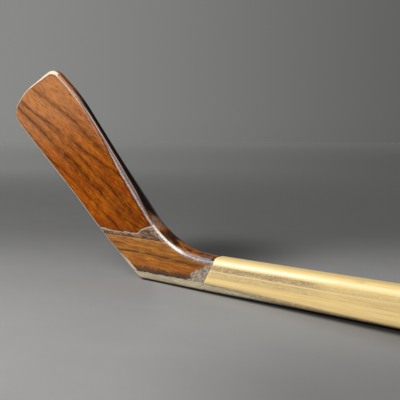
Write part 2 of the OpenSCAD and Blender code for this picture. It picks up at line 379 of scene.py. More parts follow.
def glue_lines():
    """Every boundary between two sub-parts in the side view, by name."""
    lines = {}
    strip = outline_inset(UP_FIRST, UP_LAST, strip_reach)
    end = crossing(strip, lambda p: p[0] > side_end_x(p[1]) - 2.6)
    strip = np.vstack([strip[:end], side_end(strip[end - 1][1])])
    peak = crossing(strip, lambda p: p[1] < 70 and p[0] > WEDGE_PEAK_X)
    cheek_in = crossing(strip, lambda p: p[1] < CHEEK_TOP + 1.5)
    lines["strip_blade"] = strip[:peak + 1]
    lines["strip_wedge"] = strip[peak:cheek_in + 1]
    lines["strip_cheek"] = strip[cheek_in:]
    sole, low, lip = (crossing(OUTLINE, lambda p: p[1] > z) for z in
                      (SOLE_TOP, CHEEK_TOP, CHEEK_TOP + WEDGE_LIP))
    run_out = crossing(OUTLINE[::-1], lambda p: p[0] >= SOLE_END - 0.01)
    run_out = len(OUTLINE) - 1 - run_out
    lines["edge_sole"] = np.vstack([OUTLINE[run_out:], OUTLINE[:sole + 1]])
    lines["edge_cheek"] = OUTLINE[sole:low + 1]
    lines["edge_wedge"] = OUTLINE[low:lip + 1]
    lines["edge_blade"] = np.vstack([OUTLINE[lip:UP_FIRST + 1], strip[:1]])
    veneer = outline_inset(lip, UP_FIRST + peak, border_reach)
    lines["veneer"] = ragged(veneer, 0.35, 5.0, 3.1)
    lines["wedge_left"] = resampled([OUTLINE[lip], veneer[0]])
    top = [veneer[0], WEDGE_SHOULDER, WEDGE_DIP - [2, 0.8], WEDGE_DIP + [3, 3.2], veneer[-1]]
    lines["wedge_top"] = ragged(resampled(top), 0.9, 4, 8.4)
    lines["wedge_right"] = resampled([veneer[-1], strip[peak]])
    low_side = [OUTLINE[low], [-10, CHEEK_TOP + 0.8], strip[cheek_in]]
    lines["wedge_low"] = ragged(resampled(low_side), 0.25, 6, 5.2)
    foot = side_end(SOLE_TOP) - [PATCH_FOOT, 0]
    lines["sole_cheek"] = ragged(resampled([OUTLINE[sole], [-8, SOLE_TOP - 0.6], foot]), 0.5, 7.0, 2.2)
    lines["sole_patch"] = resampled([foot, side_end(SOLE_TOP)])
    patch = [foot, foot + [-PATCH_LEAN, PATCH_H], side_end(SIDE_END_TURN)]
    lines["patch_side"] = ragged(resampled(patch), 1.1, 3.2, 6.6)
    lines["end_low"] = resampled([side_end(SOLE_TOP), side_end(SEAM_Z)])
    lines["end_patch"] = resampled([side_end(SEAM_Z), side_end(SIDE_END_TURN)])
    lines["end_cheek"] = resampled([side_end(SIDE_END_TURN), strip[-1]])
    lines["end_strip"] = resampled([strip[-1], side_end(BOARD_TOP)])
    lines["seam"] = along_shaft(side_end_x(SEAM_Z), SEAM_Z)
    lines["board_top"] = along_shaft(side_end_x(BOARD_TOP), BOARD_TOP)
    run = SOLE_END - (SOLE_END - side_end_x(SOLE_TOP)) * BOARD_LOW / SOLE_TOP
    lines["sole_board"] = resampled([side_end(SOLE_TOP), (run, BOARD_LOW)], FINE)
    lines["board_low"] = along_shaft(run, BOARD_LOW)
    return lines, UP_FIRST + end


LINES, STRIP_LAST = glue_lines()


# ---------------------------------------------------------------- meshes from the side view

def build_cloud():
    """Points of the side view that carry the surface's shape, denser beside the outline."""
    rings = np.vstack([OUTLINE + NORMALS * (ARRIS[:, :1] * share) for share in ARC_SHARES[1:]])
    rings = rings[inside(rings, OUTLINE)]
    grid = crossings(np.arange(-228, SOLE_END - 1, GRID_STEP), np.arange(1, 218, GRID_STEP))
    grid = grid[inside(grid, OUTLINE)]
    d, k = nearest(grid, OUTLINE, True)[:2]
    clear_of_arris = d > ARRIS[k, 0] * 1.3 + 1
    return np.vstack([rings, grid[clear_of_arris], crossings(STATIONS[:-1], SHAFT_ROWS[1:-1])])


def crossings(xs, zs):
    """The points where lines at the distances xs meet lines at the heights zs."""
    x, z = np.meshgrid(xs, zs)
    return np.stack([x.ravel(), z.ravel()], axis=1)


def inside(points, polygon):
    """Whether each point lies inside the polygon."""
    x, z = points[:, 0][:, None], points[:, 1][:, None]
    x0, z0 = polygon[:, 0], polygon[:, 1]
    x1, z1 = np.roll(x0, -1), np.roll(z0, -1)
    rises = np.where(z1 == z0, 1e-12, z1 - z0)
    crosses = ((z0 > z) != (z1 > z)) & (x < (x1 - x0) * (z - z0) / rises + x0)
    return crosses.sum(axis=1) % 2 == 1


CLOUD = build_cloud()


def chained(*lines):
    """One closed loop from lines that meet end to end, with each shared point once."""
    loop = []
    for line in lines:
        loop += [p for p in line if not loop or np.linalg.norm(p - loop[-1]) > SAME]
    while np.linalg.norm(loop[0] - loop[-1]) < SAME:
        loop.pop()
    return np.array(loop)


def loop_insets(loop, depths):
    """Points at each depth inside a loop of either direction."""
    x, z = loop.T
    area = np.sum(x * np.roll(z, -1) - np.roll(x, -1) * z)
    normals = inward_normals(loop) * (-1 if area > 0 else 1)
    return np.vstack([loop + normals * depth for depth in depths])


def triangulated(loop):
    """Points and triangles that fill the loop. The loop's own points come first."""
    extra = np.vstack([loop_insets(loop, INSETS), CLOUD])
    near = (extra > loop.min(0) - 0.1).all(axis=1) & (extra < loop.max(0) + 0.1).all(axis=1)
    extra = extra[near]
    extra = extra[inside(extra, loop)]
    clear = nearest(extra, loop, True)[0] > LOOP_GAP
    points = np.vstack([loop, thinned(extra[clear], POINT_GAP)])
    count = len(loop)
    edges = [(i, (i + 1) % count) for i in range(count)]
    made = delaunay_2d_cdt([Vector(p) for p in points], edges, [], 0, 1e-5)
    flat = np.array([list(v) for v in made[0]])
    triangles = np.array(made[2])
    keep = inside(flat[triangles].mean(axis=1), loop)
    a, b, c = (flat[triangles[:, i]] for i in range(3))
    area = (b - a)[:, 0] * (c - a)[:, 1] - (b - a)[:, 1] * (c - a)[:, 0]
    keep &= (np.abs(area) > 1e-4) | (triangles >= count).any(axis=1)
    return flat, triangles[keep]


def thinned(points, gap):
    """The first of the points in each square of a grid that is gap wide."""
    seen, kept = set(), []
    for p in points:
        cell = (int(p[0] // gap), int(p[1] // gap))
        if cell not in seen:
            seen.add(cell)
            kept.append(p)
    return np.array(kept).reshape(-1, 2)


def add_plate(bm, loop, front, back):
    """Adds the closed solid over a loop of the side view, from y = front(points) to y = back(points)."""
    flat, triangles = triangulated(loop)
    y_front, y_back = front(flat), back(flat)
    fore = [bm.verts.new((p[0], y, p[1])) for p, y in zip(flat, y_front)]
    aft = [bm.verts.new((p[0], y, p[1])) for p, y in zip(flat, y_back)]
    rims = {}
    for a, b, c in triangles:
        bm.faces.new((fore[a], fore[b], fore[c]))
        bm.faces.new((aft[c], aft[b], aft[a]))
        for u, v in ((a, b), (b, c), (c, a)):
            if (v, u) in rims:
                del rims[(v, u)]
            else:
                rims[(u, v)] = True
    for u, v in rims:
        bm.faces.new((fore[v], fore[u], aft[u], aft[v]))


def new_piece(name, bm, nodes, material, mirrored=False, rim=None):
    """A piece of the stick from a mesh in millimetres."""
    if mirrored:
        bmesh.ops.scale(bm, vec=(1, -1, 1), verts=bm.verts)
    bmesh.ops.recalc_face_normals(bm, faces=bm.faces)
    bmesh.ops.scale(bm, vec=(MM, MM, MM), verts=bm.verts)
    mesh = bpy.data.meshes.new(name)
    bm.to_mesh(mesh)
    bm.free()
    for polygon in mesh.polygons:
        polygon.use_smooth = True
    mesh.set_sharp_from_angle(angle=math.radians(38))
    places = np.array([[v.co.x, v.co.z] for v in mesh.vertices]) / MM
    measured = {"edge": nearest(places, OUTLINE, True)[0]}
    if rim is not None:
        measured["rim"] = nearest(places, rim, False)[0]
    for key, values in measured.items():
        mesh.attributes.new(key, "FLOAT", "POINT").data.foreach_set("value", values.astype(np.float32))
    mesh.materials.append(material)
    piece = bpy.data.objects.new(name, mesh)
    bpy.context.scene.collection.objects.link(piece)
    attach(piece, "root")
    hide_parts(*nodes)
    return piece


def heel_face(points):
    return -face_depth(points, HEEL_HALF)[0]


def shaft_face(points):
    return -np.maximum(face_depth(points, SHAFT_HALF)[0], CORE_HALF)


def eased(face, rim, depth):
    """The face, drawn in by depth at a glue line."""
    def function(points):
        near = np.clip(1 - nearest(points, rim, False)[0] / EASE_WIDTH, 0, 1)
        return face(points) + depth * near
    return function


def closed(loop):
    return np.vstack([loop, loop[:1]])


def heel_inner(points):
    """The inner side of the heel's outer boards: the centre stave's face, or just under a thin edge."""
    return -np.minimum(CORE_HALF, face_depth(points, HEEL_HALF)[0] - 0.4)


def mirrored(function):
    return lambda points: -function(points)


def skin(name, node, material, loop, rim, easing=0.2, face=heel_face, inner=heel_inner):
    """A front piece and its mirror image on the back. In the names, {} stands for the side."""
    for side in ("front", "back"):
        bm = bmesh.new()
        add_plate(bm, loop, eased(face, rim, easing), inner)
        new_piece(name.format(side), bm, [node.format(side)], material, side == "back", rim)


def glue(names):
    """The glue lines of these names. A minus sign turns a line round."""
    return [LINES[name[1:]][::-1] if name[0] == "-" else LINES[name] for name in names.split()]


def make_veneers(material):
    loop = chained(*glue("veneer -wedge_top"))
    skin("blade_veneer_{}_face", "blade_veneer_{}", material, loop, closed(loop), 0.12,
         inner=lambda p: heel_face(p) + VENEER_T)


def make_wedges(material):
    glued = glue("wedge_left wedge_top wedge_right strip_wedge -wedge_low")
    loop = chained(LINES["edge_wedge"], *glued)
    skin("heel_wedge_{}_filler", "heel_wedge_{}", material, loop, np.vstack(glued))


def make_cheeks(material):
    glued = glue("wedge_low strip_cheek -end_cheek -patch_side -sole_cheek")
    loop = chained(LINES["edge_cheek"], *glued)
    skin("heel_cheek_{}_board", "heel_cheek_{}", material, loop, np.vstack(glued))


def make_patches(material):
    loop = chained(*glue("patch_side -end_patch -end_low -sole_patch"))
    skin("heel_patch_{}_fibre", "heel_patch_{}", material, loop, closed(loop), 0.1)


def make_boards(material):
    boards = {"upper": "end_patch end_cheek end_strip board_top -seam",
              "lower": "end_low seam -board_low -sole_board"}
    heel_end = np.vstack(glue("end_low end_patch end_cheek end_strip"))
    rim = np.vstack([heel_end[::-1], LINES["seam"][:1]])
    for level, names in boards.items():
        skin("shaft_board_{}_" + level, "shaft_side_{}_" + level, material,
             chained(*glue(names)), rim, 0.5, shaft_face, lambda p: np.full(len(p), 0.01 - CORE_HALF))


def make_sole(material):
    glued = glue("sole_cheek sole_patch sole_board")
    loop = chained(LINES["edge_sole"], *glued, LINES["edge_sole"][:1])
    rim = np.vstack(glued)
    face = eased(heel_face, rim, 0.15)
    bm = bmesh.new()
    add_plate(bm, loop, face, mirrored(face))
    new_piece("sole_strip_wedge", bm, ["sole_strip"], material, rim=rim)


def make_blade_core(material):
    """The core's bare border round the veneers, the body under them, and its root at the heel."""
    border = chained(*glue("edge_blade strip_blade -wedge_right -veneer -wedge_left"))
    body = chained(*glue("veneer -wedge_top"))
    low, high = (crossing(OUTLINE, lambda p: p[1] > z) for z in (SHAFT_TOP, CHEEK_TOP))
    neck = LINES["strip_cheek"]
    root = chained(OUTLINE[low:high + 1], *glue("edge_wedge wedge_left wedge_top wedge_right strip_wedge"),
                   neck[:crossing(neck, lambda p: p[1] < SHAFT_TOP)])
    bm = bmesh.new()
    add_plate(bm, border, heel_face, mirrored(heel_face))
    add_plate(bm, body, lambda p: heel_face(p) + VENEER_T, lambda p: -heel_face(p) - VENEER_T)
    add_plate(bm, root, heel_inner, mirrored(heel_inner))
    new_piece("blade_core_body", bm, ["blade_core"], material, rim=closed(border))


def shaft_section(x):
    """The centre stave's section at x, as y and z, clockwise from the lower front corner."""
    def arc(centre_y, centre_z, r, first, last):
        turns = np.radians(np.linspace(first, last, 7))
        return [(centre_y + r * math.cos(t), centre_z + r * math.sin(t)) for t in turns]
    top_start = math.degrees(math.acos((CORE_HALF - SHAFT_HALF + ARRIS_TOP) / ARRIS_TOP))
    low_start = math.degrees(math.acos((CORE_HALF - SHAFT_HALF + ARRIS_BOTTOM) / ARRIS_BOTTOM))
    right = arc(SHAFT_HALF - ARRIS_TOP, SHAFT_TOP - ARRIS_TOP, ARRIS_TOP, top_start, 90)
    low = arc(SHAFT_HALF - ARRIS_BOTTOM, ARRIS_BOTTOM, ARRIS_BOTTOM, -90, -low_start)
    half = low + right
    section = half + [(-y, z) for y, z in half[::-1]]
    floor = SOLE_TOP * np.clip((SOLE_END - x) / (SOLE_END - side_end_x(SOLE_TOP)), 0, 1) + 0.02
    roof = SHAFT_TOP - (5.0 if x < SIDE_END_TOP else 0)
    return [(y, min(max(z, floor if floor > 0.03 else z), roof)) for y, z in section]


def loft(bm, rings):
    """Skins a row of closed rings of places, and closes its two ends."""
    loops = [[bm.verts.new(place) for place in ring] for ring in rings]
    for a, b in zip(loops, loops[1:]):
        for i in range(len(a)):
            j = (i + 1) % len(a)
            bm.faces.new((a[i], a[j], b[j], b[i]))
    bm.faces.new(loops[0][::-1])
    bm.faces.new(loops[-1])


def make_shaft_core(material):
    starts = [on_lower_edge(SOLE_TOP)[0] + 16, 60, SIDE_END_TOP - 0.2, SIDE_END_TOP]
    places = starts + list(np.arange(110, SOLE_END, 10)) + list(STATIONS[:-1]) + [BUTT_X - 1, BUTT_X]
    rings = []
    for x in places:
        shrink = BUTT_SHRINK if len(rings) == len(places) - 1 else 1
        rings.append([(x, y * shrink, SEAM_Z + (z - SEAM_Z) * shrink) for y, z in shaft_section(x)])
    bm = bmesh.new()
    loft(bm, rings)
    new_piece("shaft_core_stave", bm, ["shaft_core"], material)


def make_edge_strip(material):
    """The bent strip over the upper edge, crowned between the two arrises."""
    rings = []
    for p, n in zip(OUTLINE[UP_FIRST:STRIP_LAST], NORMALS[UP_FIRST:STRIP_LAST]):
        places = np.array([p + n * d for d in strip_reach(p) * np.array(STRIP_SHARES)])
        ys = heel_face(places)
        face = [(q, y) for q, y in zip(places, ys)]
        half = -ys[-1]
        crown = [(p - n * 0.1 * half * (1 - c * c), -half * c) for c in (0.8, 0.5, 0.2, -0.2, -0.5, -0.8)]
        ring = face + crown + [(q, -y) for q, y in face[::-1]]
        rings.append([(q[0], y, q[1]) for q, y in ring])
    bm = bmesh.new()
    loft(bm, rings)
    rim = np.vstack(glue("strip_blade strip_wedge strip_cheek"))
    new_piece("top_edge_strip_bent", bm, ["top_edge_strip"], material, rim=rim)


def dress_dowels(material):
    """The dowels keep their CAD shape, and only get their wood."""
    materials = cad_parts["heel_dowels"].data.materials
    materials.clear()
    materials.append(material)


# ---------------------------------------------------------------- materials

X, Y, Z = (1, 0, 0), (0, 1, 0), (0, 0, 1)


class Graph:
    """A material, or a world, and short names for its nodes. Its grain rises at angle from +X.

    Every value is a number, a tuple or a socket.
    """

    def __init__(self, name, angle=0.0, world=False):
        self.owner = (bpy.data.worlds if world else bpy.data.materials).new(name)
        self.owner.use_nodes = True
        self.tree = self.owner.node_tree
        self.shader = self.tree.nodes["Background" if world else "Principled BSDF"]
        self.position = self.node("ShaderNodeTexCoord").outputs["Generated" if world else "Object"]
        self.angle = angle

    def node(self, kind, **settings):
        made = self.tree.nodes.new(kind)
        for key, value in settings.items():
            setattr(made, key, value)
        return made

    def put(self, value, socket):
        if isinstance(value, bpy.types.NodeSocket):
            self.tree.links.new(value, socket)
        elif isinstance(value, tuple) and len(value) == 3 and len(socket.default_value) == 4:
            socket.default_value = (*value, 1)
        else:
            socket.default_value = value

    def maths(self, operation, *values):
        made = self.node("ShaderNodeMath", operation=operation)
        for value, socket in zip(values, made.inputs):
            self.put(value, socket)
        return made.outputs[0]

    def times(self, a, b):
        return self.maths("MULTIPLY", a, b)

    def plus(self, a, b):
        return self.maths("ADD", a, b)

    def minus(self, a, b):
        return self.maths("SUBTRACT", a, b)

    def most(self, a, b):
        return self.maths("MAXIMUM", a, b)

    def apart(self, a, b):
        """How far a and b differ."""
        return self.maths("ABSOLUTE", self.minus(a, b))

    def shaken(self, place, noise, size):
        """The place, moved by up to half of size either way."""
        return self.plus(place, self.times(self.minus(noise, 0.5), size))

    def dot(self, direction):
        """Distance along a direction, in metres."""
        made = self.node("ShaderNodeVectorMath", operation="DOT_PRODUCT")
        self.put(self.position, made.inputs[0])
        self.put(direction, made.inputs[1])
        return made.outputs["Value"]

    def grain(self, along, across, drift=0.0, detail=3, roughness=0.55, distortion=0.0, angle=None):
        """Noise with so many cycles per metre along and across the grain, or along another angle."""
        angle = self.angle if angle is None else angle
        s = self.dot((math.cos(angle), 0, math.sin(angle)))
        w = self.dot((-math.sin(angle), 0, math.cos(angle)))
        place = self.node("ShaderNodeCombineXYZ")
        self.put(self.maths("MULTIPLY_ADD", s, along, drift), place.inputs[0])
        self.put(self.times(self.dot(Y), across), place.inputs[1])
        self.put(self.times(w, across), place.inputs[2])
        made = self.node("ShaderNodeTexNoise")
        settings = {"Vector": place.outputs[0], "Scale": 1.0, "Detail": detail, "Roughness": roughness,
                    "Distortion": distortion}
        for name, value in settings.items():
            self.put(value, made.inputs[name])
        return made.outputs["Fac"]

    def between(self, value, low, high, to_low=0.0, to_high=1.0):
        """Maps low..high to to_low..to_high smoothly, and holds outside."""
        made = self.node("ShaderNodeMapRange", interpolation_type="SMOOTHSTEP")
        for i, v in enumerate((value, low, high, to_low, to_high)):
            self.put(v, made.inputs[i])
        return made.outputs[0]

    def mix(self, a, b, share):
        made = self.node("ShaderNodeMix", data_type="RGBA")
        self.put(share, made.inputs[0])
        self.put(a, made.inputs[6])
        self.put(b, made.inputs[7])
        return made.outputs[2]

    def measured(self, name):
        """A distance that the mesh carries, in millimetres: rim to its glue lines, or edge to the outline."""
        return self.node("ShaderNodeAttribute", attribute_name=name).outputs["Fac"]

    def bump(self, height, distance, strength):
        made = self.node("ShaderNodeBump")
        made.inputs["Strength"].default_value = strength
        made.inputs["Distance"].default_value = distance
        self.put(height, made.inputs["Height"])
        self.put(made.outputs[0], self.shader.inputs["Normal"])

    def finish(self, colour, roughness, coat=0.0, coat_roughness=0.1):
        self.put(colour, self.shader.inputs["Base Color"])
        self.put(roughness, self.shader.inputs["Roughness"])
        self.put(coat, self.shader.inputs["Coat Weight"])
        self.shader.inputs["Coat Roughness"].default_value = coat_roughness
        return self.owner


BLADE_GRAIN = -RISE
VENEER_GRAIN = math.radians(-31)


def along_blade(g):
    """Distance along the blade from the heel, in metres."""
    return g.dot((-math.cos(RISE), 0, math.sin(RISE)))


def across_blade(g):
    """Distance across the blade from its lower edge, in metres."""
    return g.dot((math.sin(RISE), 0, math.cos(RISE)))


def dark_line(g, place, centre, width, halo):
    """A dark vein in the wood: 1 at its centre, fading over its width, with a fainter halo beside it."""
    away = g.apart(place, centre)
    core = g.between(away, 0.1 * width, width, 0.9, 0)
    return g.most(core, g.between(away, 0, halo, 0.55, 0))


def veneer_material():
    """Varnished orange-brown veneer with dark veins, duller and pinker towards the toe."""
    g = Graph("varnished_veneer", VENEER_GRAIN)
    u = g.dot((math.cos(VENEER_GRAIN), 0, math.sin(VENEER_GRAIN)))
    v = g.dot((-math.sin(VENEER_GRAIN), 0, math.cos(VENEER_GRAIN)))
    s, w = along_blade(g), across_blade(g)
    warp = g.grain(14, 34, roughness=0.5)
    broad = g.grain(8, 70, 3.0)
    streak = g.grain(17, 260, 5.0, detail=4, distortion=0.5)
    fibre = g.grain(75, 820, 8.0, detail=4, roughness=0.65)
    figure = g.grain(90, 45, 2.0, detail=4, roughness=0.6)
    fine = g.grain(90, 1300)
    pores = g.grain(150, 1900, 4.0, detail=2)
    fleck = g.grain(90, 420, 6.0, detail=4, roughness=0.7)
    place = g.shaken(v, warp, 0.016)
    slanted = g.minus(place, g.times(u, 0.11))
    lines = dark_line(g, slanted, 0.0765, 0.0015, 0.005)
    for centre, width, halo in ((0.038, 0.0019, 0.0075), (0.0765, 0.0013, 0.006),
                                (0.0495, 0.001, 0.004), (0.0225, 0.0009, 0.004)):
        lines = g.most(lines, dark_line(g, place, centre, width, halo))
    veins = g.times(lines, g.between(g.grain(14, 60), 0.3, 0.6, 0.5, 1))
    toe = g.between(g.plus(s, g.plus(g.times(broad, 0.08), g.times(w, 0.8))), 0.185, 0.325)
    base = g.mix((0.43, 0.105, 0.002), (0.225, 0.042, 0.001), g.between(broad, 0.36, 0.64))
    bright = g.mix(base, (0.34, 0.066, 0.0012), g.times(g.between(w, 0.03, 0.01), 0.6))
    deep = g.mix(bright, (0.235, 0.04, 0.001), g.times(g.between(s, 0.12, 0.03), 0.75))
    toned = g.mix(deep, (0.46, 0.185, 0.064), g.times(toe, 0.9))
    calm = g.between(toe, 0, 1, 1, 0.45)
    streaked = g.mix(toned, (0.11, 0.02, 0.0012), g.times(g.between(streak, 0.48, 0.74, 0, 0.5), calm))
    flecked = g.mix(streaked, (0.05, 0.012, 0.002), g.times(g.between(fleck, 0.6, 0.72), 0.5))
    veined = g.mix(flecked, (0.035, 0.0065, 0.001), veins)
    figured = g.mix(veined, (0.6, 0.19, 0.006), g.between(figure, 0.45, 0.7, 0, 0.16))
    fibred = g.mix(figured, (0.07, 0.013, 0.0012), g.times(g.between(fibre, 0.49, 0.66, 0, 0.6), calm))
    lit = g.mix(fibred, (0.74, 0.26, 0.008), g.between(fibre, 0.47, 0.34, 0, 0.3))
    grained = g.mix(lit, (0.05, 0.011, 0.001), g.between(fine, 0.48, 0.7, 0, 0.6))
    pored = g.mix(grained, (0.018, 0.005, 0.001), g.between(pores, 0.63, 0.72, 0, 0.75))
    darkened = g.mix(pored, (0.04, 0.01, 0.002), g.between(g.measured("rim"), 0.1, 1.6, 0.4, 0))
    g.bump(g.plus(fine, g.times(fibre, 0.8)), 0.00013, 0.5)
    g.shader.inputs["Specular IOR Level"].default_value = 0.06
    return g.finish(darkened, g.between(streak, 0.3, 0.7, 0.36, 0.5), g.between(toe, 0, 1, 0.0, 0.5), 0.22)


def pale_wood(g, light, dark, grey, angle=None):
    """The colour of bare pale wood with grey wear, and the noise to shape its bump."""
    streak = g.grain(25, 260, detail=4, angle=angle)
    fine = g.grain(90, 1500, angle=angle)
    blotch = g.grain(260, 560, detail=4, roughness=0.7, angle=angle)
    colour = g.mix(light, dark, g.between(streak, 0.4, 0.68))
    worn = g.mix(colour, grey, g.between(blotch, 0.5, 0.64, 0, 0.7))
    return g.mix(worn, (0.13, 0.08, 0.05), g.between(fine, 0.5, 0.74, 0, 0.5)), fine


def contact_shaded(g, colour):
    """The colour, with painted contact shade: black along the edge that the stick stands on."""
    shade_top = g.between(g.dot(X), 0.04, 0.22, 0.0019, 0.0038)
    # painted contact shade: black from the floor up to a height that grows along the shaft
    return g.mix((0.006, 0.005, 0.004), colour, g.between(g.dot(Z), 0.0005, shade_top))


def sole_material():
    """Worn, greyish sole strip with a fibrous upper rim."""
    g = Graph("worn_sole")
    colour, fine = pale_wood(g, (0.5, 0.43, 0.285), (0.38, 0.315, 0.2), (0.22, 0.185, 0.135))
    mottle = g.grain(420, 620, detail=4, roughness=0.75)
    reach = g.plus(g.measured("rim"), g.times(mottle, 2.4))
    near_heel = g.between(g.dot(X), 0.06, 0.075)
    rimmed = g.mix((0.16, 0.11, 0.075), colour, g.most(g.between(reach, 1.1, 1.9), near_heel))
    g.bump(fine, 0.00018, 0.6)
    return g.finish(contact_shaded(g, rimmed), g.between(fine, 0.3, 0.7, 0.5, 0.68), 0.12, 0.25)


def border_material():
    """The core's bare arris: cream at the toe, pinkish and mottled lower down, with a lilac line along it."""
    g = Graph("bare_border", BLADE_GRAIN)
    s, w, edge = along_blade(g), across_blade(g), g.measured("edge")
    pale = pale_wood(g, (0.81, 0.68, 0.49), (0.64, 0.49, 0.32), (0.4, 0.31, 0.23))[0]
    mottle = g.grain(300, 560, detail=4, roughness=0.75)
    pink = g.mix(pale, (0.52, 0.4, 0.35), g.between(s, 0.245, 0.21, 0, 0.7))
    wear = g.times(g.between(s, 0.17, 0.1, 0.25, 0.8), g.between(w, 0.035, 0.045, 0.4, 1))
    mottled = g.mix(pink, (0.26, 0.16, 0.12), g.times(wear, g.between(mottle, 0.46, 0.6)))
    line = g.between(g.apart(edge, 2.5), 0.35, 0.9)
    clear = g.most(g.between(s, 0.17, 0.19), g.between(w, 0.045, 0.035))
    lined = g.mix((0.17, 0.125, 0.155), mottled, g.most(line, clear))
    ragged_rim = g.plus(g.measured("rim"), g.times(mottle, g.between(s, 0.2, 0.23, 1.6, 0.6)))
    rimmed = g.mix((0.21, 0.1, 0.05), lined, g.between(ragged_rim, 0.75, 1.25, 0.15, 1))
    g.bump(mottle, 0.0001, 0.3)
    return g.finish(rimmed, 0.58, 0.05, 0.25)


def worn_and_highlighted_arris(g, colour):
    """The colour, worn through to pale wood beside the outline and to purple-grey near the shaft, with a
    painted highlight, near white, on the pale wood at the neck.
    """
    edge, w, x = g.measured("edge"), across_blade(g), g.dot(X)
    mottle = g.grain(460, 560, detail=4, roughness=0.75, angle=BLADE_GRAIN)
    pale = pale_wood(g, (0.62, 0.52, 0.38), (0.42, 0.32, 0.22), (0.17, 0.13, 0.11), BLADE_GRAIN)[0]
    lilac = g.mix((0.105, 0.078, 0.095), (0.33, 0.27, 0.27), g.between(mottle, 0.5, 0.62))
    # painted highlight: near-white patches on the worn pale wood at the neck
    neck_highlight = g.times(g.between(x, -0.005, 0.022), g.between(x, 0.054, 0.044))
    highlighted = g.mix(pale, (0.93, 0.88, 0.8), g.times(neck_highlight, g.between(mottle, 0.66, 0.5, 0.1, 0.8)))
    greyed = g.mix(highlighted, lilac, g.between(x, 0.047, 0.06, 0, 0.95))
    low_depth = g.between(g.dot(Z), 0.036, 0.012, 2.5, 5.0)
    depth = g.between(w, 0.03, 0.045, low_depth, g.between(x, 0.02, 0.06, 4.6, 5.2))
    reached = g.minus(g.plus(edge, g.times(mottle, 2.6)), depth)
    dark = g.mix((0.05, 0.032, 0.022), colour, g.between(reached, 1.5, 2.7, 0.4, 1))
    torn = g.times(g.between(reached, 3.6, 1.8), g.between(mottle, 0.49, 0.57, 0, 0.8))
    fringed = g.mix(dark, (0.36, 0.28, 0.21), g.times(torn, g.between(w, 0.03, 0.045)))
    return g.mix(greyed, fringed, g.between(reached, 0.9, 1.4))


def edge_strip_material():
    """The bent strip: brown at the toe, almost black along the blade with painted shade over its stain, brown
    and black at the neck.
    """
    g = Graph("stained_and_shaded_edge_strip", BLADE_GRAIN)
    s, edge = along_blade(g), g.measured("edge")
    fine = g.grain(50, 1300)
    blotch = g.grain(34, 230, detail=4, roughness=0.65)
    speck = g.grain(400, 600, detail=4, roughness=0.7)
    warm = g.mix((0.42, 0.125, 0.012), (0.09, 0.018, 0.003), g.between(blotch, 0.38, 0.6))
    shade = g.shaken(s, blotch, 0.03)
    # painted shade: near black along the blade, where the edge faces away from the light
    along = g.times(g.between(shade, 0.018, 0.042), g.between(shade, 0.205, 0.18))
    dark = g.most(along, g.between(g.apart(shade, 0.002), 0.005, 0.011, 0.85, 0))
    stained_and_shaded = g.mix(warm, (0.009, 0.005, 0.0045), g.times(dark, 0.97))
    scuff = g.times(g.between(g.apart(s, 0.024), 0.004, 0.011, 1, 0), g.between(speck, 0.45, 0.6))
    scuffed = g.mix(stained_and_shaded, (0.3, 0.25, 0.22), scuff)
    worn = g.times(g.between(s, -0.032, -0.046), g.between(edge, 0.4, 1.6))
    greyed = g.mix(scuffed, (0.12, 0.085, 0.11), worn)
    grained = g.mix(greyed, (0.01, 0.005, 0.003), g.between(fine, 0.46, 0.7, 0, 0.65))
    g.bump(fine, 0.00008, 0.4)
    g.shader.inputs["Specular IOR Level"].default_value = 0.3
    coat = g.between(s, 0.18, 0.21, g.between(dark, 0, 1, 0.5, 0.2), 0.05)
    return g.finish(grained, g.between(s, 0.18, 0.21, 0.32, 0.55), coat, 0.12)


def filler_material():
    """Dark, fibrous filler with a pale ragged upper rim, and painted shade as a dark line along its lower
    glue line, in the crease at the cheek.
    """
    g = Graph("fibrous_filler", math.radians(-12))
    fibre = g.grain(130, 520, detail=4, roughness=0.7)
    speck = g.grain(420, 560, roughness=0.7, angle=0.3)
    rim, z = g.measured("rim"), g.dot(Z)
    colour = g.mix((0.25, 0.115, 0.05), (0.032, 0.015, 0.008), g.between(fibre, 0.38, 0.6))
    specked = g.mix(colour, (0.47, 0.3, 0.17), g.between(speck, 0.53, 0.64, 0, 0.8))
    inner = g.most(g.between(g.plus(rim, g.times(speck, 2.0)), 1.6, 3.0), g.between(z, 0.0448, 0.0428))
    pale = g.mix((0.37, 0.29, 0.22), specked, inner)
    # painted shade: a dark line in the crease along the lower glue line, against the cheek
    rimmed = g.mix((0.035, 0.02, 0.012), pale, g.between(rim, 0.3, 1.2, g.between(z, 0.0405, 0.043), 1))
    g.bump(fibre, 0.0003, 0.7)
    return g.finish(worn_and_highlighted_arris(g, rimmed), 0.5, 0.2, 0.2)


def patch_fibres(g):
    """Grey-white fibres that run up across the joint, and the noise to shape their bump."""
    fibre = g.grain(240, 1050, detail=4, roughness=0.65, angle=math.radians(38))
    speck = g.grain(760, 760, 5.0, roughness=0.7, angle=0.6)
    colour = g.mix((0.12, 0.08, 0.05), (0.49, 0.395, 0.29), g.between(fibre, 0.38, 0.58))
    return g.mix(colour, (0.09, 0.06, 0.04), g.between(speck, 0.54, 0.66, 0, 0.75)), fibre


